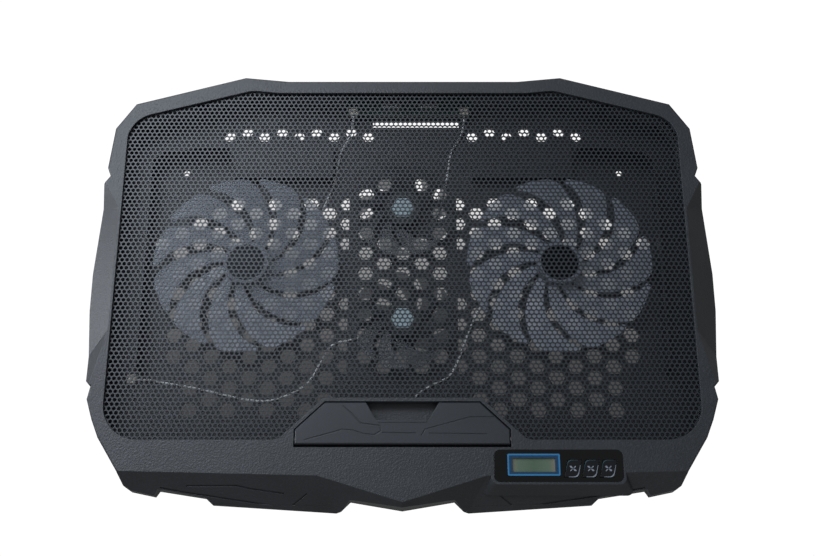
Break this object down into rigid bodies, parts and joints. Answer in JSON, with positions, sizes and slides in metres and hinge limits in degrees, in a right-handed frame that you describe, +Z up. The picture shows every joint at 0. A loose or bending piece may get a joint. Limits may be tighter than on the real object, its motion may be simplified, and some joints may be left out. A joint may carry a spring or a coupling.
{
  "type": "laptop cooling pad",
  "caption": "Flat stand with a perforated steel top over spinning fans, a flip-up stop for the laptop's front edge, a control panel with buttons, and fold-out rear legs.",
  "frame": {"origin": "on the table, under the middle of the overall box, with the legs folded", "axes": "+X to the user's right, +Y to the rear, +Z up"},
  "size_m": [0.415, 0.3, 0.0279],
  "materials": {
    "textured_abs": "fine spark-eroded texture",
    "black_painted_steel": "powder coated, satin",
    "bright_steel": "nickel plated",
    "gloss_black": "polished",
    "blue_frame": "lit blue border",
    "display_window": "grey-green display",
    "display_body": "moulded",
    "button_black": "satin with printed outline",
    "switch_black": "moulded",
    "circuit_board": "solder mask",
    "frosted_blade": "frosted translucent",
    "smoked_blade": "smoked",
    "magnet_steel": "blackened",
    "motor_black": "moulded",
    "hub_badge": "pearl cap",
    "screw_steel": "zinc plated",
    "soft_rubber": "moulded",
    "lead_sleeve": "soft sleeve",
    "plug_white": "moulded"
  },
  "bodies": {
    "root": {"bottom_shell": "textured_abs", "top_frame": "textured_abs", "mesh_panel": "black_painted_steel", "baffle_hinge_pins": "bright_steel", "leg_pivot_pins": "bright_steel", "usb_inlet_shell": "bright_steel", "usb_outlet_shell": "bright_steel", "panel_bezel": "gloss_black", "display_frame": "blue_frame", "display_glass": "display_window", "display_module": "display_body", "tact_switches": "switch_black", "usb_tongues": "switch_black", "control_board": "circuit_board", "usb_board": "circuit_board", "left_fan_motor_base": "motor_black", "right_fan_motor_base": "motor_black", "rear_fan_motor_base": "motor_black", "front_fan_motor_base": "motor_black", "fan_screws": "screw_steel", "case_screws": "screw_steel", "rubber_feet": "soft_rubber", "left_fan_lead": "lead_sleeve", "right_fan_lead": "lead_sleeve", "rear_fan_lead": "lead_sleeve", "front_fan_lead": "lead_sleeve", "lead_plugs": "plug_white"},
    "baffle": {"stopper_baffle": "textured_abs"},
    "power_button": {"power_button": "button_black"},
    "fan_mode_button": {"fan_mode_button": "button_black"},
    "fan_speed_button": {"fan_speed_button": "button_black"},
    "right_leg": {"right_leg": "textured_abs", "right_leg_pad": "soft_rubber"},
    "left_leg": {"left_leg": "textured_abs", "left_leg_pad": "soft_rubber"},
    "left_fan_rotor": {"left_fan_impeller": "frosted_blade", "left_fan_magnet_cup": "magnet_steel", "left_fan_shaft": "bright_steel"},
    "right_fan_rotor": {"right_fan_impeller": "frosted_blade", "right_fan_magnet_cup": "magnet_steel", "right_fan_shaft": "bright_steel"},
    "rear_fan_rotor": {"rear_fan_impeller": "smoked_blade", "rear_fan_magnet_cup": "magnet_steel", "rear_fan_shaft": "bright_steel", "rear_fan_badge": "hub_badge"},
    "front_fan_rotor": {"front_fan_impeller": "smoked_blade", "front_fan_magnet_cup": "magnet_steel", "front_fan_shaft": "bright_steel", "front_fan_badge": "hub_badge"}
  },
  "joints": [
    {"name": "baffle_flip", "type": "hinge", "parent": "root", "child": "baffle", "pos_m": [0, -0.1062, 0.0242], "axis": [1, 0, 0], "range_deg": [0, 90]},
    {"name": "power_button_press", "type": "slide", "parent": "root", "child": "power_button", "axis": [0, 0, 1], "range_m": [-0.0006, 0], "stiffness_N_per_m": 400},
    {"name": "fan_mode_button_press", "type": "slide", "parent": "root", "child": "fan_mode_button", "axis": [0, 0, 1], "range_m": [-0.0006, 0], "stiffness_N_per_m": 400},
    {"name": "fan_speed_button_press", "type": "slide", "parent": "root", "child": "fan_speed_button", "axis": [0, 0, 1], "range_m": [-0.0006, 0], "stiffness_N_per_m": 400},
    {"name": "left_fan_spin", "type": "hinge", "parent": "root", "child": "left_fan_rotor", "pos_m": [-0.105, 0.015, 0.01], "axis": [0, 0, 1], "continuous": true},
    {"name": "right_fan_spin", "type": "hinge", "parent": "root", "child": "right_fan_rotor", "pos_m": [0.105, 0.015, 0.01], "axis": [0, 0, 1], "continuous": true},
    {"name": "rear_fan_spin", "type": "hinge", "parent": "root", "child": "rear_fan_rotor", "pos_m": [0, 0.0545, 0.01], "axis": [0, 0, 1], "continuous": true},
    {"name": "front_fan_spin", "type": "hinge", "parent": "root", "child": "front_fan_rotor", "pos_m": [0, -0.0245, 0.01], "axis": [0, 0, 1], "continuous": true},
    {"name": "right_leg_swing", "type": "hinge", "parent": "root", "child": "right_leg", "pos_m": [0.083, 0.086, 0.0066], "axis": [1, 0, 0], "range_deg": [-95, 0]},
    {"name": "left_leg_swing", "type": "hinge", "parent": "root", "child": "left_leg", "pos_m": [-0.083, 0.086, 0.0066], "axis": [1, 0, 0], "range_deg": [-95, 0]}
  ]
}
